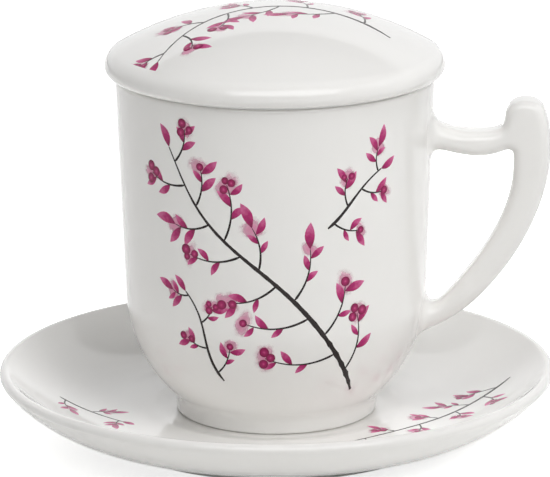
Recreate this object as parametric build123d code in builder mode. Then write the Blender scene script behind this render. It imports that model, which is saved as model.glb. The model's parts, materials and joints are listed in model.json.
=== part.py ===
import os
from math import atan2, sqrt, tan

from build123d import *

os.makedirs("parts", exist_ok=True)

# Lidded tea cup on its saucer, with a steel tea strainer hung in the cup's mouth.
# Millimetres. +Z is up, the handle points along +X, and the origin is on the common
# axis, on the surface that the saucer stands on.

# Saucer
saucer_radius = 74.0
saucer_height = 19.0  # table to the top of the lip
saucer_lip = 3.0  # thickness of the rounded lip
saucer_floor = 4.5  # thickness of the dish's level floor
saucer_foot_radius = 44.5  # outside of the foot ring
saucer_foot_width = 3.4
saucer_foot_height = 3.1  # how far the foot ring lifts the dish
saucer_foot_bevel = 0.6
seat_depth = 0.6  # step down to the seat for the cup
seat_clearance = 3.4  # room around the cup's foot on the seat
seat_slope = 1.4  # width of the step's slope
dish_inset = 1.0  # the dish starts to rise this far inside its foot ring

# Cup
cup_rim_radius = 42.0
cup_height = 91.0  # foot to rim
cup_wall = 2.6
cup_floor = 4.4  # thickness of the floor
cup_rim_round = 1.1
cup_bend_radius = 39.9  # outside, where the side starts to curve in
cup_bend_height = 31.3
cup_foot_radius = 27.2  # outside of the foot ring, where it meets the bowl
cup_foot_draft = 0.5  # how much narrower the ring is where it stands
cup_foot_height = 4.9
cup_foot_width = 3.2
cup_foot_recess = 3.0  # depth of the hollow inside the ring
cup_foot_bevel = 0.6
cup_floor_inset = 1.7  # edge of the level floor inside the foot's radius
cup_floor_round = 13.0

# Handle: a level arm with a thumb stub, and a grip that sweeps down to the bowl
handle_reach = 30.5  # beyond the cup's rim
handle_depth = 9.6  # front to back
handle_round = 2.0
handle_root = 9.0  # how deep the ends are drawn into the cup before they are trimmed
arm_drop = 13.8  # top of the arm below the rim, at its dip
arm_dip = 11.2  # from the rim out to the arm's dip
arm_thickness = 7.3
arm_flare_top = 4.2  # rise of the arm's upper edge towards the cup
arm_flare_under = 2.6  # rise of its lower edge towards the cup
arm_corner_rise = 4.8  # rise of its lower edge towards the grip
arm_corner_round = 1.5
stub_radius = 4.9
stub_rise = 9.2  # top of the stub above the arm
stub_setback = 1.6  # the stub's outer side inside the grip's outermost point
grip_drop = 17.7  # the grip's outermost point below the rim
grip_thickness = 9.1
grip_pull = 21.0  # how far down the grip's outer side stays upright
grip_inner_pull = 14.5  # and its inner side, below the corner
tail_low = 22.3  # lower edge at the cup, above the foot
tail_low_run = 15.9  # direction and pull of that edge, away from the cup
tail_low_rise = 7.1
tail_thickness = 8.9
tail_flare = 4.3  # the upper edge turns level this far from the cup
tail_high_run = 8.2  # direction and pull of the upper edge
tail_high_rise = 8.3

# Strainer
sheet = 0.5  # steel sheet
flange_inset = 0.6  # edge of the flange inside the cup's rim
collar_height = 9.0
strainer_clearance = 1.6  # between the basket and the cup's wall
basket_taper = 1.5  # how much more the basket narrows than the cup
basket_gap = 2.0  # basket above the level where the cup's side curves in
slot_width = 1.4
slot_bridge = 3.6  # metal left between the rows of slots
slot_rows = 2
slots_around = 20
floor_slot_width = 1.4
floor_slot_rings = 2
floor_slots_inner = 6
floor_hub = 5.0  # plain middle of the strainer's floor

# Lid
lid_overhang = 2.8  # the lid's widest edge beyond the cup's rim
lid_height = 18.0  # base to the top of the dome
lid_wall = 3.4
lid_edge_height = 2.5  # widest level above the base
lid_edge_radius = 5.4
lid_tuck = 2.4  # how far the edge turns in towards the base
spigot_depth = 5.0
spigot_width = 3.0
spigot_clearance = 0.8  # between the spigot and the strainer's collar
spigot_bevel = 0.6

# Levels and radii that the pieces share
dish_level = saucer_foot_height + saucer_floor
cup_base = dish_level - seat_depth
rim_level = cup_base + cup_height
lid_base = rim_level + sheet
bend_level = cup_base + cup_bend_height
basket_level = bend_level + basket_gap
collar_level = rim_level - collar_height


def cup_inside_radius(level):
    """Inside of the cup's straight side at a level above the bend."""
    lean = (cup_rim_radius - cup_bend_radius) / (rim_level - bend_level)
    return cup_rim_radius - cup_wall - lean * (rim_level - level)


def meet_round(start, across, centre, reach):
    """End of the arc that leaves start square to across and runs smoothly into a round.

    reach is the round's radius, negative where the round lies on the side of the arc that
    across points to.
    """
    start, across, centre = Vector(start), Vector(across), Vector(centre)
    gap = centre - start
    radius = (gap.length**2 - reach**2) / (2 * (gap.dot(across) + reach))
    middle = start + across * radius
    return middle + (centre - middle).normalized() * abs(radius)


def corner(section, point):
    """The corner of a section nearest to a point."""
    return section.vertices().sort_by_distance(point)[0]


# Points of the cup's outside, from the foot to the rim, shared by the cup and its handle
cup_stand = (cup_foot_radius - cup_foot_draft, cup_base)
cup_waist = (cup_foot_radius, cup_base + cup_foot_height)
cup_bend = (cup_bend_radius, bend_level)
cup_rim = (cup_rim_radius, rim_level)


def draw_cup_outside():
    Line(cup_stand, cup_waist)
    TangentArc(cup_bend, cup_waist, tangent=Vector(cup_bend) - Vector(cup_rim))
    Line(cup_bend, cup_rim)


# Saucer: a dish on a foot ring, with a shallow seat for the cup
lip_radius = saucer_lip / 2
lip_centre = (saucer_radius - lip_radius, saucer_height - lip_radius)
lip_top = Vector(lip_centre) + Vector(lip_radius, lip_radius).normalized() * lip_radius
dish_start = (saucer_foot_radius - dish_inset, dish_level)
dish_end = meet_round(dish_start, (0, 1), lip_centre, lip_radius)
back_start = (saucer_foot_radius, saucer_foot_height)
back_end = meet_round(back_start, (0, 1), lip_centre, -lip_radius)
seat_radius = cup_foot_radius + seat_clearance
saucer_foot_inside = saucer_foot_radius - saucer_foot_width

with BuildPart() as saucer:
    with BuildSketch(Plane.XZ) as saucer_section:
        with BuildLine():
            Polyline(
                dish_start,
                (seat_radius + seat_slope, dish_level),
                (seat_radius, cup_base),
                (0, cup_base),
                (0, saucer_foot_height),
                (saucer_foot_inside, saucer_foot_height),
                (saucer_foot_inside, 0),
                (saucer_foot_radius, 0),
                back_start,
            )
            TangentArc(back_start, back_end, tangent=(1, 0))
            ThreePointArc(back_end, lip_top, dish_end)
            TangentArc(dish_start, dish_end, tangent=(1, 0))
        make_face()
        for stand_edge in ((saucer_foot_inside, 0), (saucer_foot_radius, 0)):
            chamfer(corner(saucer_section, stand_edge), saucer_foot_bevel)
    revolve(axis=Axis.Z)
saucer.part.label = "saucer"
export_step(saucer.part, "parts/saucer.step")

# Cup: tapered side, rounded bowl, foot ring
floor_level = cup_base + cup_foot_recess + cup_floor
floor_edge = (cup_foot_radius - cup_floor_inset, floor_level)
inner_bend = (cup_bend_radius - cup_wall, bend_level)
inner_rim = (cup_rim_radius - cup_wall, rim_level)
recess_level = cup_base + cup_foot_recess
cup_foot_inside = cup_foot_radius - cup_foot_draft - cup_foot_width

with BuildPart() as cup_body:
    with BuildSketch(Plane.XZ) as cup_section:
        with BuildLine():
            draw_cup_outside()
            Polyline(cup_rim, inner_rim, inner_bend)
            TangentArc(inner_bend, floor_edge, tangent=Vector(inner_bend) - Vector(inner_rim))
            Polyline(
                floor_edge,
                (0, floor_level),
                (0, recess_level),
                (cup_foot_inside, recess_level),
                (cup_foot_inside, cup_base),
                cup_stand,
            )
        make_face()
        for rim_edge in (cup_rim, inner_rim):
            fillet(corner(cup_section, rim_edge), cup_rim_round)
        for stand_edge in (cup_stand, (cup_foot_inside, cup_base)):
            chamfer(corner(cup_section, stand_edge), cup_foot_bevel)
        fillet(corner(cup_section, floor_edge), cup_floor_round)
    revolve(axis=Axis.Z)
cup_body.part.label = "cup_body"
export_step(cup_body.part, "parts/cup_body.step")

# Handle: one outline, extruded, softened, and trimmed to the cup's own surface
arm_x = cup_rim_radius + arm_dip
arm_top = rim_level - arm_drop
arm_under = arm_top - arm_thickness
arm_high = (cup_bend_radius, arm_top + arm_flare_top)
arm_low = (cup_bend_radius, arm_under + arm_flare_under)
root_x = cup_bend_radius - handle_root
grip_x = cup_rim_radius + handle_reach
grip_inside = grip_x - grip_thickness
grip_level = rim_level - grip_drop
grip_out = (grip_x, grip_level)
grip_low = (grip_x, grip_level - grip_pull)
stub_centre = (grip_x - stub_setback - stub_radius, arm_top + stub_rise - stub_radius)
stub_left = (stub_centre[0] - stub_radius, stub_centre[1])
stub_top = (stub_centre[0], stub_centre[1] + stub_radius)
stub_right = meet_round(grip_out, (1, 0), stub_centre, stub_radius)
inner_corner = (grip_inside, arm_under + arm_corner_rise)
inner_start = (grip_inside, arm_under - arm_corner_round)
inner_low = (grip_inside, inner_start[1] - grip_inner_pull)
tail_outer = (cup_bend_radius, cup_base + tail_low)
tail_turn = (cup_bend_radius + tail_flare, cup_base + tail_low + tail_thickness)
tail_lean = atan2(tail_high_rise, tail_high_run)
tail_high = (cup_bend_radius, tail_turn[1] - tail_flare * tan(tail_lean / 2))
outer_pull = Vector(tail_low_run, tail_low_rise)
inner_pull = Vector(tail_high_run, tail_high_rise)
tail_root = Vector(tail_outer) - outer_pull * (handle_root / tail_low_run)

with BuildPart() as cup_handle:
    with BuildSketch(Plane.XZ):
        with BuildLine():
            TangentArc((arm_x, arm_top), arm_high, tangent=(-1, 0))
            Polyline(arm_high, (root_x, arm_high[1]), (root_x, arm_low[1]), arm_low)
            TangentArc((arm_x, arm_under), arm_low, tangent=(-1, 0))
            TangentArc((arm_x, arm_under), inner_corner, tangent=(1, 0))
            Line(inner_corner, inner_start)
            Bezier(inner_start, inner_low, Vector(tail_turn) + inner_pull, tail_turn)
            TangentArc(tail_turn, tail_high, tangent=inner_pull * -1)
            Polyline(tail_high, (root_x, tail_high[1]), tail_root, tail_outer)
            Bezier(tail_outer, Vector(tail_outer) + outer_pull, grip_low, grip_out)
            TangentArc(grip_out, stub_right, tangent=(0, 1))
            ThreePointArc(stub_right, stub_top, stub_left)
            Spline(stub_left, (arm_x, arm_top), tangents=[(0, -1), (-1, 0)])
        make_face()
    extrude(amount=handle_depth / 2, both=True)
    fillet(
        cup_handle.edges().filter_by(Axis.Y).sort_by_distance((grip_inside, 0, inner_corner[1]))[0],
        arm_corner_round,
    )
    fillet(cup_handle.faces().filter_by(Axis.Y).edges(), handle_round)
    with BuildSketch(Plane.XZ):
        with BuildLine():
            draw_cup_outside()
            Polyline(cup_rim, (0, rim_level), (0, cup_base), cup_stand)
        make_face()
    revolve(axis=Axis.Z, mode=Mode.SUBTRACT)
cup_handle.part.label = "cup_handle"
export_step(cup_handle.part, "parts/cup_handle.step")

# Strainer rim: a flange that lies on the cup's rim, and the collar below it
collar_radius = cup_inside_radius(collar_level) - strainer_clearance
flange_radius = cup_rim_radius - flange_inset

with BuildPart() as strainer_rim:
    with BuildSketch(Plane.XZ):
        with BuildLine():
            Polyline(
                (collar_radius - sheet, collar_level),
                (collar_radius, collar_level),
                (collar_radius, rim_level),
                (flange_radius, rim_level),
                (flange_radius, lid_base),
                (collar_radius - sheet, lid_base),
                close=True,
            )
        make_face()
    revolve(axis=Axis.Z)
strainer_rim.part.label = "strainer_rim"
export_step(strainer_rim.part, "parts/strainer_rim.step")

# Strainer wall: a tapered sleeve with rows of upright slots, slim enough to come out of the mouth
cup_narrowest = min(cup_inside_radius(basket_level), cup_inside_radius(collar_level))
basket_radius = cup_narrowest - strainer_clearance - basket_taper
wall_height = collar_level - basket_level
slot_height = (wall_height - slot_bridge) / slot_rows - slot_bridge
slot_pitch = slot_height + slot_bridge
slot_reach = 2 * (collar_radius - basket_radius) + 4 * sheet
wall_middle = (collar_radius + basket_radius - sheet) / 2

with BuildPart() as strainer_wall:
    with BuildSketch(Plane.XZ):
        with BuildLine():
            Polyline(
                (basket_radius - sheet, basket_level),
                (basket_radius, basket_level),
                (collar_radius, collar_level),
                (collar_radius - sheet, collar_level),
                close=True,
            )
        make_face()
    revolve(axis=Axis.Z)
    for row in range(slot_rows):
        slot_level = basket_level + slot_bridge + slot_height / 2 + row * slot_pitch
        with Locations((0, 0, slot_level)):
            with PolarLocations(wall_middle, slots_around):
                Box(slot_reach, slot_width, slot_height, mode=Mode.SUBTRACT)
strainer_wall.part.label = "strainer_wall"
export_step(strainer_wall.part, "parts/strainer_wall.step")

# Strainer floor: a disc under the wall, with rings of slots that point at the middle
ring_width = (basket_radius - floor_hub) / floor_slot_rings
floor_slot_length = ring_width - slot_bridge

with BuildPart() as strainer_floor:
    with BuildSketch(Plane.XY.offset(basket_level)) as floor_plate:
        Circle(basket_radius)
        for ring in range(floor_slot_rings):
            ring_middle = floor_hub + ring * ring_width + floor_slot_length / 2
            with PolarLocations(ring_middle, floor_slots_inner * (ring + 1)):
                Rectangle(floor_slot_length, floor_slot_width, mode=Mode.SUBTRACT)
    extrude(amount=-sheet)
strainer_floor.part.label = "strainer_floor"
export_step(strainer_floor.part, "parts/strainer_floor.step")

# Lid: a plain dome with a rolled edge, and a spigot that keeps it in the strainer's collar
lid_radius = cup_rim_radius + lid_overhang
lid_top = (0, lid_base + lid_height)
widest = (lid_radius, lid_base + lid_edge_height)
edge_centre = (lid_radius - lid_edge_radius, lid_base + lid_edge_height)
dome_end = meet_round(lid_top, (0, 1), edge_centre, lid_edge_radius)
edge_out = (Vector(dome_end) + Vector(widest)) / 2 - Vector(edge_centre)
edge_middle = Vector(edge_centre) + edge_out.normalized() * lid_edge_radius
base_edge = (lid_radius - lid_tuck, lid_base)
spigot_radius = collar_radius - sheet - spigot_clearance
spigot_inside = spigot_radius - spigot_width
spigot_level = lid_base - spigot_depth
ceiling_top = (0, lid_base + lid_height - lid_wall)
dome_gap = Vector(edge_centre) - Vector(lid_top)
dome_radius = (dome_gap.length**2 - lid_edge_radius**2) / (-2 * (dome_gap.Y + lid_edge_radius))
ceiling_drop = dome_radius - lid_wall - sqrt((dome_radius - lid_wall) ** 2 - spigot_inside**2)
ceiling_edge = (spigot_inside, ceiling_top[1] - ceiling_drop)

with BuildPart() as lid:
    with BuildSketch(Plane.XZ) as lid_section:
        with BuildLine():
            TangentArc(lid_top, dome_end, tangent=(1, 0))
            ThreePointArc(dome_end, edge_middle, widest)
            TangentArc(widest, base_edge, tangent=(0, -1))
            Polyline(
                base_edge,
                (spigot_radius, lid_base),
                (spigot_radius, spigot_level),
                (spigot_inside, spigot_level),
                ceiling_edge,
            )
            TangentArc(ceiling_top, ceiling_edge, tangent=(1, 0))
            Line(ceiling_top, lid_top)
        make_face()
        for spigot_edge in ((spigot_radius, spigot_level), (spigot_inside, spigot_level)):
            chamfer(corner(lid_section, spigot_edge), spigot_bevel)
    revolve(axis=Axis.Z)
lid.part.label = "lid"
export_step(lid.part, "parts/lid.step")
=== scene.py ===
import bisect
import json
import math
import random

import bpy
from mathutils import Matrix, Vector

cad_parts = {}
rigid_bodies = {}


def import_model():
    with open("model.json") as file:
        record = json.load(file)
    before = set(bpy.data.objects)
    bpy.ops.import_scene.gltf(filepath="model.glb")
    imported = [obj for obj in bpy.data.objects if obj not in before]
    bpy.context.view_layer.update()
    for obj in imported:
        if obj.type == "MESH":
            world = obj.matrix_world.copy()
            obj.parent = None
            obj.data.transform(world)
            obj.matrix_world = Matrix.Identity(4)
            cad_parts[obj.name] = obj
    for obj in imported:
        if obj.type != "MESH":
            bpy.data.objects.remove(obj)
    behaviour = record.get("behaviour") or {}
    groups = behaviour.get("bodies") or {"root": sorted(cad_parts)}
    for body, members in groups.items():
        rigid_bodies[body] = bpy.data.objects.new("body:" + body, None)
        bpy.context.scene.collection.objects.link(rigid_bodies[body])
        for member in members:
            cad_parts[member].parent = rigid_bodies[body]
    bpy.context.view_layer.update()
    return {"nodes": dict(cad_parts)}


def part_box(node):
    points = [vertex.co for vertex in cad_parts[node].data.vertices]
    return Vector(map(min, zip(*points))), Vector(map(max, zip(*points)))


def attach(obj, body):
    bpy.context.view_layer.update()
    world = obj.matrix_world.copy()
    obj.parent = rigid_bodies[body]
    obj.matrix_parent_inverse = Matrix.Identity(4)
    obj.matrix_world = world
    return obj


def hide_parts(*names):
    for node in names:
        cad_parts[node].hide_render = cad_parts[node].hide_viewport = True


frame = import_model()

# Tea cup with lid and strainer on a saucer. Sizes are in millimetres, the scene is in metres.
mm = 0.001
mergeGap = 0.002  # vertices closer than this become one
front = math.radians(-84)  # the side that the camera looks at
scene = bpy.context.scene
scene.view_settings.view_transform = "Standard"


def deselectAll():
    if bpy.context.object and bpy.context.object.mode != "OBJECT":
        bpy.ops.object.mode_set(mode="OBJECT")
    bpy.ops.object.select_all(action="DESELECT")


def pick(piece):
    deselectAll()
    piece.select_set(True)
    bpy.context.view_layer.objects.active = piece


def applyModifiers(piece):
    pick(piece)
    for modifier in list(piece.modifiers):
        bpy.ops.object.modifier_apply(modifier=modifier.name)


# Shader maths: a Wire is a socket that adds Math nodes when it meets an operator
class Wire:
    def __init__(self, finish, socket):
        self.finish = finish
        self.socket = socket

    def work(self, operation, first, second):
        return self.finish.node("ShaderNodeMath", {"operation": operation}, {0: first, 1: second})

    def __add__(self, other):
        return self.work("ADD", self, other)

    def __sub__(self, other):
        return self.work("SUBTRACT", self, other)

    def __rsub__(self, other):
        return self.work("SUBTRACT", other, self)

    def __mul__(self, other):
        return self.work("MULTIPLY", self, other)

    def __lt__(self, other):
        return self.work("LESS_THAN", self, other)

    __radd__ = __add__
    __rmul__ = __mul__


class Finish:
    def __init__(self, name, owner=None):
        self.material = owner or bpy.data.materials.new(name)
        self.material.use_nodes = True
        self.tree = self.material.node_tree
        self.tree.nodes.clear()

    def node(self, kind, settings=None, sockets=None, out=0):
        made = self.tree.nodes.new(kind)
        for name, value in (settings or {}).items():
            if name == "stops":
                self.setStops(made.color_ramp.elements, value)
            else:
                setattr(made, name, value)
        for name, value in (sockets or {}).items():
            if isinstance(value, Wire):
                self.tree.links.new(value.socket, made.inputs[name])
            else:
                made.inputs[name].default_value = value
        return Wire(self, made.outputs[out]) if made.outputs else made

    def setStops(self, elements, stops):
        while len(elements) < len(stops):
            elements.new(0.5)
        for element, (place, colour) in zip(elements, stops):
            element.position = place
            element.color = colour

    def noise(self, place, scale, detail):
        return self.node("ShaderNodeTexNoise", {}, {"Vector": place, "Scale": scale, "Detail": detail})

    def ease(self, value, start, end, first, last):
        return self.node("ShaderNodeMapRange", {"interpolation_type": "SMOOTHSTEP"}, {
            "Value": value, "From Min": start, "From Max": end, "To Min": first, "To Max": last,
        })

    def blend(self, factor, first, second):
        return self.node("ShaderNodeMix", {"data_type": "RGBA"}, {0: factor, 6: first, 7: second}, out=2)

    def close(self, surface):
        self.node("ShaderNodeOutputMaterial", {}, {"Surface": surface})
        return self.material


# China: white body under a clear glaze that is bare only on the ring a piece stands on
china = {
    "body": (0.94, 0.93, 0.91, 1),
    "pooled": (0.915, 0.90, 0.87, 1),  # where the glaze runs thick
    "pooledShare": 0.5,
    "bare": (0.70, 0.68, 0.64, 1),
    "bareHeight": 0.2,
    "bareRoughness": 0.6,
    "glazeRoughness": 0.16,
    "specular": 0.15,
    "coatRoughness": 0.04,
    "coatIor": 1.5,
    "cloudScale": 38.0,
    "cloudDetail": 3.0,
    "rippleScale": 55.0,
    "rippleDetail": 1.0,
    "rippleStrength": 0.5,
    "rippleHeight": 0.06,
}


def makeChina(name, standLevel):
    finish = Finish(name)
    place = finish.node("ShaderNodeTexCoord", out="Object")
    level = finish.node("ShaderNodeSeparateXYZ", {}, {0: place}, out="Z")
    cloud = finish.noise(place, china["cloudScale"], china["cloudDetail"])
    ripple = finish.noise(place, china["rippleScale"], china["rippleDetail"])
    bare = level < (standLevel + china["bareHeight"]) * mm
    glazed = finish.blend(cloud * china["pooledShare"], china["body"], china["pooled"])
    bump = finish.node("ShaderNodeBump", {}, {
        "Height": ripple, "Strength": china["rippleStrength"], "Distance": china["rippleHeight"] * mm,
    })
    surface = finish.node("ShaderNodeBsdfPrincipled", {}, {
        "Base Color": finish.blend(bare, glazed, china["bare"]),
        "Roughness": china["glazeRoughness"] + bare * (china["bareRoughness"] - china["glazeRoughness"]),
        "Specular IOR Level": china["specular"],
        "Coat Weight": 1 - bare,
        "Coat Roughness": china["coatRoughness"],
        "Coat IOR": china["coatIor"],
        "Normal": bump,
    })
    return finish.close(surface)


# Steel sheet of the strainer, brushed around its axis
steel = {
    "light": (0.60, 0.595, 0.585, 1), "dark": (0.42, 0.415, 0.41, 1), "roughness": 0.24, "roughSpread": 0.14,
    "brushScale": (60.0, 60.0, 2600.0), "brushDetail": 4.0, "brushStrength": 0.25, "brushHeight": 0.03,
}


def makeSteel(name):
    finish = Finish(name)
    place = finish.node("ShaderNodeTexCoord", out="Object")
    stretched = finish.node("ShaderNodeMapping", {}, {"Vector": place, "Scale": steel["brushScale"]})
    brushing = finish.noise(stretched, 1.0, steel["brushDetail"])
    bump = finish.node("ShaderNodeBump", {}, {
        "Height": brushing, "Strength": steel["brushStrength"], "Distance": steel["brushHeight"] * mm,
    })
    surface = finish.node("ShaderNodeBsdfPrincipled", {}, {
        "Base Color": finish.blend(brushing, steel["dark"], steel["light"]),
        "Metallic": 1.0,
        "Roughness": steel["roughness"] + brushing * steel["roughSpread"],
        "Normal": bump,
    })
    return finish.close(surface)


# Sections of turned pieces are lists of points (radius, level) in millimetres
def arcFrom(start, heading, end, steps):
    start, heading, end = Vector(start), Vector(heading).normalized(), Vector(end)
    across = Vector((-heading.y, heading.x))
    chord = end - start
    centre = start + across * (chord.length_squared / (2 * chord.dot(across)))
    turn = 2 * math.atan2(chord.dot(across), chord.dot(heading))
    return [centre + Matrix.Rotation(turn * i / steps, 2) @ (start - centre) for i in range(steps + 1)]


def walkAlong(path, at, step, reach):
    while 0 <= at + step < len(path):
        leg = path[at + step] - path[at]
        if leg.length >= reach:
            return path[at] + leg * (reach / leg.length), at + step
        reach -= leg.length
        at += step
    return path[at], at


def softenCorner(path, corner, reach, steps=6):
    at = min(range(len(path)), key=lambda i: (path[i] - Vector(corner)).length)
    before, low = walkAlong(path, at, -1, reach)
    after, high = walkAlong(path, at, 1, reach)
    curve = []
    for i in range(steps + 1):
        t = i / steps
        curve.append(before * (1 - t) ** 2 + path[at] * (2 * t * (1 - t)) + after * t**2)
    return path[: low + 1] + curve + path[high:]


def latheSection(name, path, steps):
    # a single vertex is drawn out along the section, which is then spun about the axis
    deselectAll()
    bpy.ops.mesh.primitive_plane_add(size=mm, location=(0, 0, 0))
    piece = bpy.context.object
    piece.name = name
    bpy.ops.object.mode_set(mode="EDIT")
    bpy.ops.mesh.select_all(action="SELECT")
    bpy.ops.mesh.merge(type="CENTER")
    bpy.ops.transform.translate(value=(path[0].x * mm, 0, path[0].y * mm))
    for start, end in zip(path, path[1:]):
        leg = (end - start) * mm
        bpy.ops.mesh.extrude_region_move(TRANSFORM_OT_translate={"value": (leg.x, 0, leg.y)})
    bpy.ops.mesh.select_all(action="SELECT")
    bpy.ops.mesh.spin(steps=steps, angle=2 * math.pi, center=(0, 0, 0), axis=(0, 0, 1))
    bpy.ops.mesh.select_all(action="SELECT")
    bpy.ops.mesh.remove_doubles(threshold=mergeGap * mm)
    bpy.ops.mesh.normals_make_consistent(inside=False)
    bpy.ops.object.mode_set(mode="OBJECT")
    bpy.ops.object.shade_smooth()
    return piece


def dress(piece, material, body, slot, *nodes):
    piece.data.materials.clear()
    piece.data.materials.append(material)
    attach(piece, body)
    if nodes:
        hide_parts(*nodes)


# Saucer
saucer = {
    "radius": 74.0, "lip": 3.0, "floor": 4.5, "footRadius": 44.5, "footWidth": 3.4, "footHeight": 3.1,
    "footSoft": 0.9, "seatDepth": 0.6, "seatRadius": 30.6, "seatSlope": 1.4, "seatSoft": 2.4,
    "dishInset": 1.0, "dishSteps": 36, "lipSteps": 20, "seatSteps": 12, "steps": 224,
}


def meetRound(start, centre, reach):
    # where an arc that leaves start level runs smoothly into a round
    start, centre = Vector(start), Vector(centre)
    gap = centre - start
    radius = (gap.length_squared - reach**2) / (2 * (gap.y + reach))
    middle = start + Vector((0, radius))
    return middle + (centre - middle).normalized() * abs(radius)


def makeSaucer():
    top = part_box("saucer")[1].z / mm
    lip = saucer["lip"] / 2
    lipCentre = Vector((saucer["radius"] - lip, top - lip))
    dishLevel = saucer["footHeight"] + saucer["floor"]
    seatLevel = dishLevel - saucer["seatDepth"]
    seat = Vector((saucer["seatRadius"] - saucer["seatSoft"], seatLevel))
    slope = Vector((saucer["seatRadius"] + saucer["seatSlope"] + saucer["seatSoft"], dishLevel))
    dishStart = (saucer["footRadius"] - saucer["dishInset"], dishLevel)
    dishEnd = meetRound(dishStart, lipCentre, lip)
    backStart = (saucer["footRadius"], saucer["footHeight"])
    backEnd = meetRound(backStart, lipCentre, -lip)
    ringInside = saucer["footRadius"] - saucer["footWidth"]
    dish = arcFrom(dishStart, (1, 0), dishEnd, saucer["dishSteps"])
    back = arcFrom(backStart, (1, 0), backEnd, saucer["dishSteps"])
    heading = Matrix.Rotation(math.pi / 2, 2) @ (dishEnd - lipCentre)
    roll = arcFrom(dishEnd, heading * -1, backEnd, saucer["lipSteps"])
    rise = []
    for i in range(saucer["seatSteps"] + 1):
        part = i / saucer["seatSteps"]
        rise.append(seat.lerp(slope, part))
        rise[-1].y = seatLevel + saucer["seatDepth"] * part * part * (3 - 2 * part)
    path = [Vector((0, seatLevel))] + rise + dish + roll[1:-1] + back[::-1]
    ring = [
        (saucer["footRadius"], 0), (ringInside, 0),
        (ringInside, saucer["footHeight"]), (0, saucer["footHeight"]),
    ]
    path += [Vector(point) for point in ring]
    for corner in [backStart] + ring[:3]:
        path = softenCorner(path, corner, saucer["footSoft"])
    piece = latheSection("saucer_china", path, saucer["steps"])
    dress(piece, makeChina("saucer glaze", 0), "saucer", "china", "saucer")
    print("saucer turned:", len(piece.data.polygons), "faces")
    return [slope] + dish


dishLine = makeSaucer()

# Cup
cup = {
    "rimRadius": 42.0, "wall": 2.6, "rimSoft": 1.2, "bendRadius": 39.9, "bendHeight": 31.3,
    "footRadius": 27.2, "footDraft": 0.5, "footHeight": 4.9, "footWidth": 3.2, "footRecess": 3.0,
    "footSoft": 0.9, "waistSoft": 1.8, "floor": 4.4, "floorInset": 1.7, "floorSoft": 9.0,
    "bowlSteps": 40, "sideSteps": 12, "cornerSteps": 8, "steps": 192,
}
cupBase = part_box("cup_body")[0].z / mm
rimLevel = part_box("cup_body")[1].z / mm


def cupOutside():
    stand = (cup["footRadius"] - cup["footDraft"], cupBase)
    waist = (cup["footRadius"], cupBase + cup["footHeight"])
    bend = Vector((cup["bendRadius"], cupBase + cup["bendHeight"]))
    rim = Vector((cup["rimRadius"], rimLevel))
    bowl = arcFrom(bend, bend - rim, waist, cup["bowlSteps"])
    side = [bend.lerp(rim, i / cup["sideSteps"]) for i in range(1, cup["sideSteps"] + 1)]
    return [Vector(stand)] + bowl[::-1] + side


def readLine(places, values, place):
    at = min(max(bisect.bisect(places, place), 1), len(places) - 1)
    part = (place - places[at - 1]) / (places[at] - places[at - 1])
    return values[at - 1] + (values[at] - values[at - 1]) * part


cupLine = cupOutside()
cupLevels, cupRadii = [point.y for point in cupLine], [point.x for point in cupLine]


def cupRadius(level):
    return readLine(cupLevels, cupRadii, level)


def makeCup():
    outside = cupOutside()
    stand, waist, rim = outside[0], outside[1], outside[-1]
    innerRim = Vector((cup["rimRadius"] - cup["wall"], rimLevel))
    innerBend = Vector((cup["bendRadius"] - cup["wall"], cupBase + cup["bendHeight"]))
    recess = cupBase + cup["footRecess"]
    floorLevel = recess + cup["floor"]
    floorEdge = (cup["footRadius"] - cup["floorInset"], floorLevel)
    ringInside = stand.x - cup["footWidth"]
    bowl = arcFrom(innerBend, innerBend - innerRim, floorEdge, cup["bowlSteps"])
    under = [Vector((0, recess)), Vector((ringInside, recess)), Vector((ringInside, cupBase))]
    path = under + outside + [innerRim] + bowl + [Vector((0, floorLevel))]
    for corner, reach in (
        (under[1], cup["footSoft"]), (under[2], cup["footSoft"]), (stand, cup["footSoft"]),
        (waist, cup["waistSoft"]), (rim, cup["rimSoft"]), (innerRim, cup["rimSoft"]),
        (floorEdge, cup["floorSoft"]),
    ):
        path = softenCorner(path, corner, reach, cup["cornerSteps"])
    piece = latheSection("cup_china", path, cup["steps"])
    dress(piece, makeChina("cup glaze", cupBase), "cup", "china", "cup_body")
    print("cup turned:", len(piece.data.polygons), "faces")


makeCup()

# Lid
lid = {
    "radius": 44.8, "edgeHeight": 2.5, "edgeRadius": 5.0, "tuck": 2.4, "wall": 3.4, "crownSink": 0.06,
    "spigotRadius": 36.18, "spigotWidth": 3.0, "spigotDepth": 5.0, "ceilingGap": 0.5,
    "soft": 0.9, "tuckSoft": 1.0, "ceilingSoft": 3.0,
    "domeSteps": 44, "edgeSteps": 14, "tuckSteps": 8, "ceilingSteps": 40, "steps": 192,
}


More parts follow.
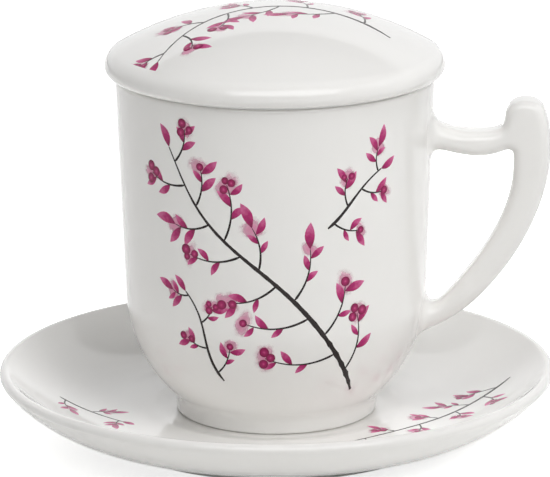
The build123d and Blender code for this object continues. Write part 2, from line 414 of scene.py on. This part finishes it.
def makeLid():
    low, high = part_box("lid")
    top = Vector((0, high.z / mm - lid["crownSink"]))  # leaves room for the paint
    base = low.z / mm + lid["spigotDepth"]
    widest = Vector((lid["radius"], base + lid["edgeHeight"]))
    edgeCentre = Vector((lid["radius"] - lid["edgeRadius"], base + lid["edgeHeight"]))
    domeEnd = meetRound(top, edgeCentre, lid["edgeRadius"])
    heading = Matrix.Rotation(-math.pi / 2, 2) @ (domeEnd - edgeCentre)
    tuck = Vector((lid["radius"] - lid["tuck"], base))
    spigotOut = Vector((lid["spigotRadius"], base))
    spigotLow = base - lid["spigotDepth"]
    inside = lid["spigotRadius"] - lid["spigotWidth"]
    spigot = [Vector((lid["spigotRadius"], spigotLow)), Vector((inside, spigotLow))]
    ceiling = arcFrom(top, (1, 0), domeEnd, lid["ceilingSteps"])
    ceiling = [point - Vector((0, lid["wall"])) for point in ceiling]
    ceiling = [point for point in ceiling if point.x < inside - lid["ceilingGap"]]
    ceilingEdge = Vector((inside, ceiling[-1].y))
    dome = arcFrom(top, (1, 0), domeEnd, lid["domeSteps"])
    dome += arcFrom(domeEnd, heading, widest, lid["edgeSteps"])[1:]
    path = dome + arcFrom(widest, (0, -1), tuck, lid["tuckSteps"])[1:]
    path += [spigotOut] + spigot + [ceilingEdge] + ceiling[::-1]
    for corner, reach in (
        (tuck, lid["tuckSoft"]), (spigotOut, lid["soft"]), (spigot[0], lid["soft"]),
        (spigot[1], lid["soft"]), (ceilingEdge, lid["ceilingSoft"]),
    ):
        path = softenCorner(path, corner, reach)
    piece = latheSection("lid_china", path, lid["steps"])
    dress(piece, makeChina("lid glaze", spigotLow), "lid", "china", "lid")
    print("lid turned:", len(piece.data.polygons), "faces")
    return dome


domeLine = makeLid()

# Strainer: the sheet pieces keep their solids
for nodeName in ("strainer_rim", "strainer_wall", "strainer_floor"):
    node = frame["nodes"][nodeName]
    node.data.materials.clear()
    node.data.materials.append(makeSteel(nodeName + " steel"))
print("strainer brushed")

# Handle: the solid's outline, rounded like cast china and drawn softly into the cup's side
handle = {
    "armDrop": 13.8, "armThickness": 7.3, "armOuter": 64.5, "armRaise": 1.1, "armLower": 0.4,
    "touch": 0.08, "rootReach": 1.8, "coreSink": 0.03, "coreCut": 26.0, "voxel": 0.4, "softRounds": 60,
    "jointReach": 11.0, "jointRounds": 320, "swell": 0.35, "stubDepth": 4.0, "stubPress": 0.7,
    "sliver": 0.04, "smoothAngle": 40,
}


def cupCore(name, sink):
    outside = [point - Vector((sink, 0)) for point in cupOutside()]
    ends = [Vector((0, outside[0].y)), Vector((0, outside[-1].y))]
    return latheSection(name, ends[:1] + outside + ends[1:], cup["steps"])


def slimArm(piece):
    # draws in the level arm's lower and upper edges, and leaves the grip and the stub
    middle = rimLevel - handle["armDrop"] - handle["armThickness"] / 2
    for vertex in piece.data.vertices:
        place = vertex.co / mm
        if place.x > handle["armOuter"] or abs(place.z - middle) > handle["armThickness"]:
            continue
        share = max(-1.0, min(1.0, (place.z - middle) / (handle["armThickness"] / 2)))
        vertex.co.z -= share * (handle["armLower"] if share > 0 else handle["armRaise"]) * mm


def rootHandle(piece):
    # pushes the ends into a core of the cup, so that they grow together
    for vertex in piece.data.vertices:
        place = vertex.co / mm
        vertex.select = place.xy.length < cupRadius(place.z) + handle["touch"]
    bpy.ops.object.mode_set(mode="EDIT")
    bpy.ops.transform.translate(value=(-handle["rootReach"] * mm, 0, 0))
    core = cupCore("handle core", handle["coreSink"])
    pick(core)
    bpy.ops.object.mode_set(mode="EDIT")
    bpy.ops.mesh.select_all(action="SELECT")
    cut = (handle["coreCut"] * mm, 0, 0)
    bpy.ops.mesh.bisect(plane_co=cut, plane_no=(1, 0, 0), use_fill=True, clear_inner=True)
    pick(piece)
    core.select_set(True)
    bpy.ops.object.join()
    remesh = piece.modifiers.new("clay", "REMESH")
    remesh.mode = "VOXEL"
    remesh.voxel_size = handle["voxel"] * mm
    applyModifiers(piece)


def softenHandle(piece):
    joint = piece.vertex_groups.new(name="joint")
    for vertex in piece.data.vertices:
        place = vertex.co / mm
        away = place.xy.length - cupRadius(place.z)
        joint.add([vertex.index], max(0.0, min(1.0, 1 - away / handle["jointReach"])), "REPLACE")
    for name, rounds, group in (
        ("soft", handle["softRounds"], ""), ("joint", handle["jointRounds"], "joint"),
    ):
        smooth = piece.modifiers.new(name, "SMOOTH")
        smooth.iterations = rounds
        smooth.vertex_group = group
    swell = piece.modifiers.new("swell", "DISPLACE")
    swell.strength = handle["swell"] * mm
    swell.mid_level = 0
    swell.vertex_group = "joint"
    swell.invert_vertex_group = True
    applyModifiers(piece)
    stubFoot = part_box("cup_handle")[1].z / mm - handle["stubDepth"]
    for vertex in piece.data.vertices:  # flattens the thumb stub's top
        part = max(0.0, vertex.co.z / mm - stubFoot) / handle["stubDepth"]
        vertex.co.z -= handle["stubPress"] * part * part * mm


def trimHandle(piece):
    cutter = cupCore("cup core", 0)
    trim = piece.modifiers.new("trim", "BOOLEAN")
    trim.operation = "DIFFERENCE"
    trim.solver = "MANIFOLD"
    trim.object = cutter
    applyModifiers(piece)
    bpy.data.objects.remove(cutter)
    # clears slivers along the trimmed edge, and crumbs that the trim cut loose from the grip
    bpy.ops.object.mode_set(mode="EDIT")
    bpy.ops.mesh.select_all(action="SELECT")
    bpy.ops.mesh.quads_convert_to_tris()
    bpy.ops.mesh.dissolve_degenerate(threshold=handle["sliver"] * mm)
    bpy.ops.mesh.quads_convert_to_tris()
    bpy.ops.mesh.select_all(action="DESELECT")
    bpy.ops.object.mode_set(mode="OBJECT")
    max(piece.data.vertices, key=lambda vertex: vertex.co.x).select = True
    bpy.ops.object.mode_set(mode="EDIT")
    bpy.ops.mesh.select_linked()
    bpy.ops.mesh.select_all(action="INVERT")
    bpy.ops.mesh.delete(type="VERT")
    bpy.ops.object.mode_set(mode="OBJECT")


def makeHandle():
    piece = bpy.data.objects.new("handle_china", frame["nodes"]["cup_handle"].data.copy())
    scene.collection.objects.link(piece)
    pick(piece)
    bpy.ops.object.mode_set(mode="EDIT")
    bpy.ops.mesh.select_all(action="SELECT")
    bpy.ops.mesh.remove_doubles(threshold=mergeGap * mm)
    bpy.ops.mesh.select_all(action="DESELECT")
    bpy.ops.object.mode_set(mode="OBJECT")
    slimArm(piece)
    rootHandle(piece)
    softenHandle(piece)
    trimHandle(piece)
    bpy.ops.object.shade_smooth_by_angle(angle=math.radians(handle["smoothAngle"]))
    dress(piece, makeChina("handle glaze", 0), "cup", "china", "cup_handle")
    print("handle shaped:", len(piece.data.polygons), "faces")


makeHandle()

# Painted sprigs: charcoal stems with magenta leaves and berries over pale washes. Each is laid out flat in
# millimetres (across, up), as thin closed shapes, and then wrapped on to the china.
paint = {
    "stem": [(0.0, (0.010, 0.006, 0.006, 1)), (1.0, (0.032, 0.020, 0.020, 1))],
    "leaf": [(0.0, (0.20, 0.004, 0.06, 1)), (0.45, (0.46, 0.014, 0.15, 1)), (1.0, (0.70, 0.16, 0.36, 1))],
    "berry": [(0.0, (0.62, 0.07, 0.26, 1)), (0.4, (0.40, 0.012, 0.12, 1)), (1.0, (0.17, 0.004, 0.05, 1))],
    "wash": [(0.0, (0.76, 0.26, 0.44, 1)), (0.7, (0.82, 0.42, 0.56, 1)), (1.0, (0.86, 0.60, 0.68, 1))],
    "washFade": (0.35, 0.95), "washCover": 0.85,
    "grain": {"stem": 300.0, "leaf": 900.0, "berry": 700.0, "wash": 420.0},
    "grainDetail": 3.0, "grainShade": 0.7, "grainRoughness": 0.1, "gloss": 0.35,
    "proud": {"stem": 0.05, "leaf": 0.04, "berry": 0.06, "wash": 0.02},
    "leafShape": (6.6, 2.5), "leafPoint": 0.55, "berryRadius": 1.25, "berrySpread": 1.25, "washRadius": 4.2,
    "motifSides": 12, "motifFlat": 0.3, "stemFlat": 8, "smoothAngle": 30, "mergeGap": 0.0005,
    "lidReach": 0.94,  # share of the lid's radius that the paint keeps within
}
stemShape = {
    "steps": 24, "footWidth": 0.45, "footRamp": 12, "tip": 0.2,
    "firstTwig": 0.1, "twigSpan": 0.86, "twigShrink": 0.45, "headingStep": 0.02,
}
twigShape = {
    "bow": 0.22, "foot": 0.34, "tip": 0.13,
    "leaves": ((0.4, 0.75), (0.62, -0.8), (0.84, 0.65)),  # place along the twig, lean in radians
    "berryShare": 0.6, "berryCounts": (1, 2, 3, 3),  # the other twigs end in a leaf
    "tipWash": 0.9, "tipLeaf": 1.1, "tipLean": 0.3,
}
hand = {  # how far each stroke strays, lowest and highest
    "stemWidth": (0.94, 1.06), "twigLean": (0.7, 1.15), "twigReach": (0.75, 1.15),
    "leafBend": (-0.5, 0.5), "leafLean": (-0.2, 0.2), "leafSize": (0.6, 1.0),
    "berryTurn": (-0.5, 0.5), "berrySize": (0.8, 1.15),
    "washSize": (0.8, 1.2), "washWidth": (0.55, 0.8), "washTurn": (0, 3),
}


def makeInk(kind):
    finish = Finish(kind + " ink")
    place = finish.node("ShaderNodeTexCoord", out="Object")
    tint = finish.node("ShaderNodeAttribute", {"attribute_name": "tint"}, out="Fac")
    grain = finish.noise(place, paint["grain"][kind], paint["grainDetail"])
    shade = tint + (grain - 0.5) * paint["grainShade"]
    sockets = {
        "Base Color": finish.node("ShaderNodeValToRGB", {"stops": paint[kind]}, {0: shade}),
        "Roughness": china["glazeRoughness"] + grain * paint["grainRoughness"],
        "Specular IOR Level": china["specular"],
        "Coat Weight": paint["gloss"],
        "Coat Roughness": china["coatRoughness"],
    }
    if kind == "wash":  # thins out towards its rim
        sockets["Alpha"] = finish.ease(shade, *paint["washFade"], paint["washCover"], 0.0)
    return finish.close(finish.node("ShaderNodeBsdfPrincipled", {}, sockets))


inks = {kind: makeInk(kind) for kind in ("stem", "leaf", "berry", "wash")}


def setTint(mesh, values):
    mesh.attributes.new("tint", "FLOAT", "POINT").data.foreach_set("value", values)


def makeMotif(kind, point):
    # a flat-topped pillow two units long, pointed at its ends
    deselectAll()
    sides = paint["motifSides"]
    bpy.ops.mesh.primitive_uv_sphere_add(segments=sides, ring_count=sides, radius=1)
    motif = bpy.context.object
    bpy.ops.object.mode_set(mode="EDIT")
    bpy.ops.transform.rotate(value=math.pi / 2, orient_axis="Y", center_override=(0, 0, 0))
    bpy.ops.object.mode_set(mode="OBJECT")
    for vertex in motif.data.vertices:
        place = vertex.co
        place.y *= max(0.0, 1 - place.x**2) ** point
        place.z = math.copysign(abs(place.z) ** paint["motifFlat"], place.z) * paint["proud"][kind]
    if point:
        setTint(motif.data, [(vertex.co.x + 1) / 2 for vertex in motif.data.vertices])
    else:
        setTint(motif.data, [vertex.co.xy.length for vertex in motif.data.vertices])
    motif.data.materials.append(inks[kind])
    return motif


motifs = {
    "leaf": makeMotif("leaf", paint["leafPoint"]),
    "berry": makeMotif("berry", 0),
    "wash": makeMotif("wash", 0),
}


def alongCurve(points, part):
    while len(points) > 1:
        points = [a.lerp(b, part) for a, b in zip(points, points[1:])]
    return points[0]


def towards(turn):
    return Vector((math.cos(turn), math.sin(turn)))


class Sprig:
    def __init__(self, seed):
        self.random = random.Random(seed)
        self.parts = []
        self.stems = []

    def stray(self, stroke):
        return self.random.uniform(*hand[stroke])

    def put(self, kind, place, length, width, turn, bend=0.0):
        part = bpy.data.objects.new(kind, motifs[kind].data.copy())
        for vertex in part.data.vertices:
            vertex.co.y += bend * (1 - vertex.co.x**2)
        spot = Matrix.Translation((place.x, place.y, 0)) @ Matrix.Rotation(turn, 4, "Z")
        part.data.transform(spot @ Matrix.Diagonal((length / 2, width / 2, 1, 1)))
        scene.collection.objects.link(part)
        self.parts.append(part)

    def leaf(self, foot, turn, size):
        length, width = (size * side for side in paint["leafShape"])
        middle = foot + towards(turn) * length / 2
        self.put("leaf", middle, length, width, turn, self.stray("leafBend"))

    def berries(self, place, size, count):
        self.wash(place, size)
        for i in range(count):
            turn = 2 * math.pi * (i / count) + self.stray("berryTurn")
            radius = paint["berryRadius"] * size * self.stray("berrySize")
            away = towards(turn) * (radius * paint["berrySpread"] if count > 1 else 0)
            self.put("berry", place + away, 2 * radius, 2 * radius, turn)

    def wash(self, place, size):
        length = 2 * paint["washRadius"] * size * self.stray("washSize")
        width = length * self.stray("washWidth")
        self.put("wash", place, length, width, self.stray("washTurn"))

    def stem(self, points, thick, thin):
        self.stems.append([])
        for i in range(stemShape["steps"] + 1):
            part = i / stemShape["steps"]
            grown = min(1, part * stemShape["footRamp"])
            foot = stemShape["footWidth"] + (1 - stemShape["footWidth"]) * grown
            radius = (thick + (thin - thick) * part) * foot
            self.stems[-1].append((alongCurve(points, part), radius * self.stray("stemWidth")))

    def twig(self, foot, turn, length, side, size):
        ahead = towards(turn) * length
        across = Vector((-ahead.y, ahead.x)) * twigShape["bow"] * side
        points = [foot, foot + ahead * 0.5 + across, foot + ahead]
        self.stem(points, twigShape["foot"] * size, twigShape["tip"])
        for part, lean in twigShape["leaves"]:
            leafTurn = turn + lean * side + self.stray("leafLean")
            self.leaf(alongCurve(points, part), leafTurn, size * self.stray("leafSize"))
        if self.random.random() < twigShape["berryShare"]:
            self.berries(points[-1], size, self.random.choice(twigShape["berryCounts"]))
        else:
            self.wash(points[-1], size * twigShape["tipWash"])
            self.leaf(points[-1], turn - twigShape["tipLean"] * side, size * twigShape["tipLeaf"])

    def spray(self, points, thick, twigs, reach, size):
        points = [Vector(point) for point in points]
        self.stem(points, thick, stemShape["tip"])
        step = stemShape["headingStep"]
        for i in range(twigs):
            part = stemShape["firstTwig"] + stemShape["twigSpan"] * i / max(twigs - 1, 1)
            foot = alongCurve(points, part)
            ahead = alongCurve(points, part + step) - alongCurve(points, part - step)
            side = 1 if i % 2 else -1
            turn = math.atan2(ahead.y, ahead.x) + side * self.stray("twigLean")
            length = reach * (1 - stemShape["twigShrink"] * part) * self.stray("twigReach")
            self.twig(foot, turn, length, side, size)
        self.leaf(points[-1], math.atan2(ahead.y, ahead.x), size)

    def drawStems(self, name):
        curve = bpy.data.curves.new(name, "CURVE")
        curve.dimensions = "3D"
        curve.bevel_depth = 1
        curve.bevel_resolution = 2
        curve.use_fill_caps = True
        for line in self.stems:
            spline = curve.splines.new("POLY")
            spline.points.add(len(line) - 1)
            for point, (place, radius) in zip(spline.points, line):
                point.co = (place.x, place.y, 0, 1)
                point.radius = radius
        piece = bpy.data.objects.new(name, curve)
        scene.collection.objects.link(piece)
        pick(piece)
        bpy.ops.object.convert(target="MESH")
        piece = bpy.context.object
        for vertex in piece.data.vertices:
            vertex.co.z = math.tanh(vertex.co.z * paint["stemFlat"]) * paint["proud"]["stem"]
        setTint(piece.data, [0.5] * len(piece.data.vertices))
        piece.data.materials.append(inks["stem"])
        return piece

    def finish(self, name, body, wrap):
        piece = self.drawStems(name)
        for part in self.parts:
            part.select_set(True)
        bpy.ops.object.join()
        for vertex in piece.data.vertices:
            vertex.co = wrap(vertex.co) * mm
        bpy.ops.object.mode_set(mode="EDIT")
        bpy.ops.mesh.select_all(action="SELECT")
        bpy.ops.mesh.remove_doubles(threshold=paint["mergeGap"] * mm)
        bpy.ops.mesh.normals_make_consistent(inside=False)
        bpy.ops.object.mode_set(mode="OBJECT")
        bpy.ops.object.shade_smooth_by_angle(angle=math.radians(paint["smoothAngle"]))
        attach(piece, body)
        print(name, "painted:", len(piece.data.polygons), "faces")


def onCup(place):
    turn = front + place.x / cup["rimRadius"]
    radius = cupRadius(place.y) + place.z
    return Vector((radius * math.cos(turn), radius * math.sin(turn), place.y))


domeRadii, domeLevels = [point.x for point in domeLine], [point.y for point in domeLine]
dishRadii, dishLevels = [point.x for point in dishLine], [point.y for point in dishLine]
facing = Matrix.Rotation(front + math.pi / 2, 2)


def onLid(place):
    flat = facing @ place.xy
    flat *= min(1, paint["lidReach"] * lid["radius"] / max(flat.length, 1))
    return Vector((flat.x, flat.y, readLine(domeRadii, domeLevels, flat.length) + place.z))


def onSaucer(place):
    flat = facing @ place.xy
    return Vector((flat.x, flat.y, readLine(dishRadii, dishLevels, flat.length) + place.z))


# Points are where a stem starts, what it bends towards and where it ends
sprays = {
    "cup": {"seed": 7, "stems": [
        {"points": [(25, 20), (18, 30), (8, 46), (2, 58), (-20, 58), (-22, 71), (-30, 86)],
         "thick": 0.95, "twigs": 13, "reach": 19, "size": 1.0},
        {"points": [(-16, 24), (-22, 32), (-18, 40), (-26, 48)],
         "thick": 0.5, "twigs": 4, "reach": 10, "size": 0.8},
        {"points": [(14, 66), (20, 70), (22, 76), (30, 80)],
         "thick": 0.5, "twigs": 4, "reach": 11, "size": 0.85},
    ]},
    "lid": {"seed": 11, "stems": [
        {"points": [(30, -12), (8, 8), (-18, 0), (-30, -25)],
         "thick": 0.7, "twigs": 9, "reach": 14, "size": 0.95},
    ]},
    "saucer": {"seed": 3, "stems": [
        {"points": [(63, 6), (50, -4), (46, -16), (20, -34)],
         "thick": 0.55, "twigs": 8, "reach": 9, "size": 0.8},
        {"points": [(-58, -2), (-50, -8), (-41, -16)],
         "thick": 0.4, "twigs": 3, "reach": 7, "size": 0.7},
    ]},
}


def paintSprigs():
    for body, wrap in (("cup", onCup), ("lid", onLid), ("saucer", onSaucer)):
        sprig = Sprig(sprays[body]["seed"])
        for stem in sprays[body]["stems"]:
            sprig.spray(**stem)
        sprig.finish(body + "_print", body, wrap)
    for motif in motifs.values():
        bpy.data.objects.remove(motif)


paintSprigs()

# Camera: distances in millimetres, angles in degrees
shot = {
    "distance": 1075.96, "height": 338.16, "across": -0.2, "pitch": 14.83, "roll": -0.3, "azimuth": 6.0,
    "focalPixels": 4187.6, "imageWidth": 550, "sensor": 36.0, "nearest": 50.0,
}


def makeCamera():
    pitch, roll, turn = (math.radians(shot[key]) for key in ("pitch", "roll", "azimuth"))
    ahead = Vector((0, math.cos(pitch), -math.sin(pitch)))
    right = Vector((1, 0, 0))
    up = right.cross(ahead)
    tiltedRight = right * math.cos(roll) + up * math.sin(roll)
    tiltedUp = up * math.cos(roll) - right * math.sin(roll)
    axes = Matrix((tiltedRight, tiltedUp, -ahead)).transposed().to_4x4()
    place = Matrix.Translation(Vector((shot["across"], -shot["distance"], shot["height"])) * mm)
    camera = bpy.data.objects.new("camera", bpy.data.cameras.new("camera"))
    camera.data.sensor_width = shot["sensor"]
    camera.data.lens = shot["focalPixels"] * shot["sensor"] / shot["imageWidth"]
    camera.data.clip_start = shot["nearest"] * mm
    camera.matrix_world = Matrix.Rotation(turn, 4, "Z") @ place @ axes
    scene.collection.objects.link(camera)
    scene.camera = camera
    print("camera set")


makeCamera()

# Floor, light and background
studio = {
    "lamps": {  # power in watts, size in metres, turn from the front and rise in degrees
        "key": {"power": 5.6, "size": (0.7, 0.7), "turn": 45, "rise": 35},
        "high": {"power": 6.0, "size": (0.7, 0.7), "turn": 45, "rise": 75},
        "front": {"power": 3.3, "size": (1.5, 0.45), "turn": 0, "rise": 55},
        "left": {"power": 1.7, "size": (0.6, 0.6), "turn": -80, "rise": 10},
        "back": {"power": 7.6, "size": (0.6, 0.25), "turn": 180, "rise": 6},
        "strip": {"power": 9.0, "size": (1.8, 0.7), "turn": 6, "rise": 32},
    },
    "mirrored": ("strip",),  # shows in the glaze and adds no other light
    "lampDistance": 1.3, "aim": (0, 0, 0.06), "white": (1, 1, 1, 1),
    "world": 0.12, "backdropTop": 40.0, "backdropSoft": 0.02, "ceiling": 0.3,
    "cameraSide": 0.4, "cameraSideSpan": (-0.6, 0.2),
    "floorSize": 8, "floor": (0.92, 0.92, 0.91, 1), "floorGlow": 0.7, "floorMirror": 0.3,
}


def addLamp(name, power, size, turn, rise):
    around, up, aim = front + math.radians(turn), math.radians(rise), Vector(studio["aim"])
    away = Vector((math.cos(up) * math.cos(around), math.cos(up) * math.sin(around), math.sin(up)))
    lamp = bpy.data.objects.new(name, bpy.data.lights.new(name, "AREA"))
    lamp.data.energy = power
    lamp.data.shape = "RECTANGLE"
    lamp.data.size, lamp.data.size_y = size
    lamp.location = aim + away * studio["lampDistance"]
    lamp.rotation_euler = (-away).to_track_quat("-Z", "Y").to_euler()
    lamp.visible_camera = False
    lamp.visible_glossy = name in studio["mirrored"]
    lamp.visible_diffuse = not lamp.visible_glossy
    scene.collection.objects.link(lamp)


def makeWorld():
    # seen directly it is white, in a mirror it is a white sweep with a dimmer ceiling and camera side
    world = bpy.data.worlds.new("studio")
    world.use_nodes = True
    air = Finish("air", world)
    rays = air.node("ShaderNodeLightPath").socket.node.outputs
    camera = Wire(air, rays["Is Camera Ray"])
    mirror = air.node("ShaderNodeMath", {"operation": "MAXIMUM"}, {
        0: Wire(air, rays["Is Glossy Ray"]), 1: Wire(air, rays["Is Transmission Ray"]),
    })
    direction = air.node("ShaderNodeTexCoord")
    height = air.node("ShaderNodeSeparateXYZ", {}, {0: direction}, out="Z")
    depth = air.node("ShaderNodeSeparateXYZ", {}, {0: direction}, out="Y")
    top, soft = math.sin(math.radians(studio["backdropTop"])), studio["backdropSoft"]
    sweep = air.ease(height, top - soft, top + soft, 1.0, studio["ceiling"])
    behind = air.ease(depth, *studio["cameraSideSpan"], studio["cameraSide"], 1.0)
    strength = camera + (1 - camera) * (mirror * sweep * behind + (1 - mirror) * studio["world"])
    glow = air.node("ShaderNodeBackground", {}, {"Color": studio["white"], "Strength": strength})
    air.node("ShaderNodeOutputWorld", {}, {"Surface": glow})
    return world


def makeStage():
    deselectAll()
    bpy.ops.mesh.primitive_plane_add(size=studio["floorSize"])
    floor = bpy.context.object
    floor.name = "floor"
    finish = Finish("floor paper")
    rays = finish.node("ShaderNodeLightPath").socket.node.outputs
    seen = Wire(finish, rays["Is Camera Ray"]) * studio["floorGlow"]
    for ray in ("Is Glossy Ray", "Is Transmission Ray"):
        seen += Wire(finish, rays[ray]) * studio["floorMirror"]
    paper = finish.node("ShaderNodeBsdfDiffuse", {}, {"Color": studio["floor"]})
    glow = finish.node("ShaderNodeEmission", {}, {"Color": studio["white"], "Strength": seen})
    floor.data.materials.append(finish.close(finish.node("ShaderNodeAddShader", {}, {0: paper, 1: glow})))
    scene.world = makeWorld()
    for name, lamp in studio["lamps"].items():
        addLamp(name, **lamp)
    print("stage set")


makeStage()
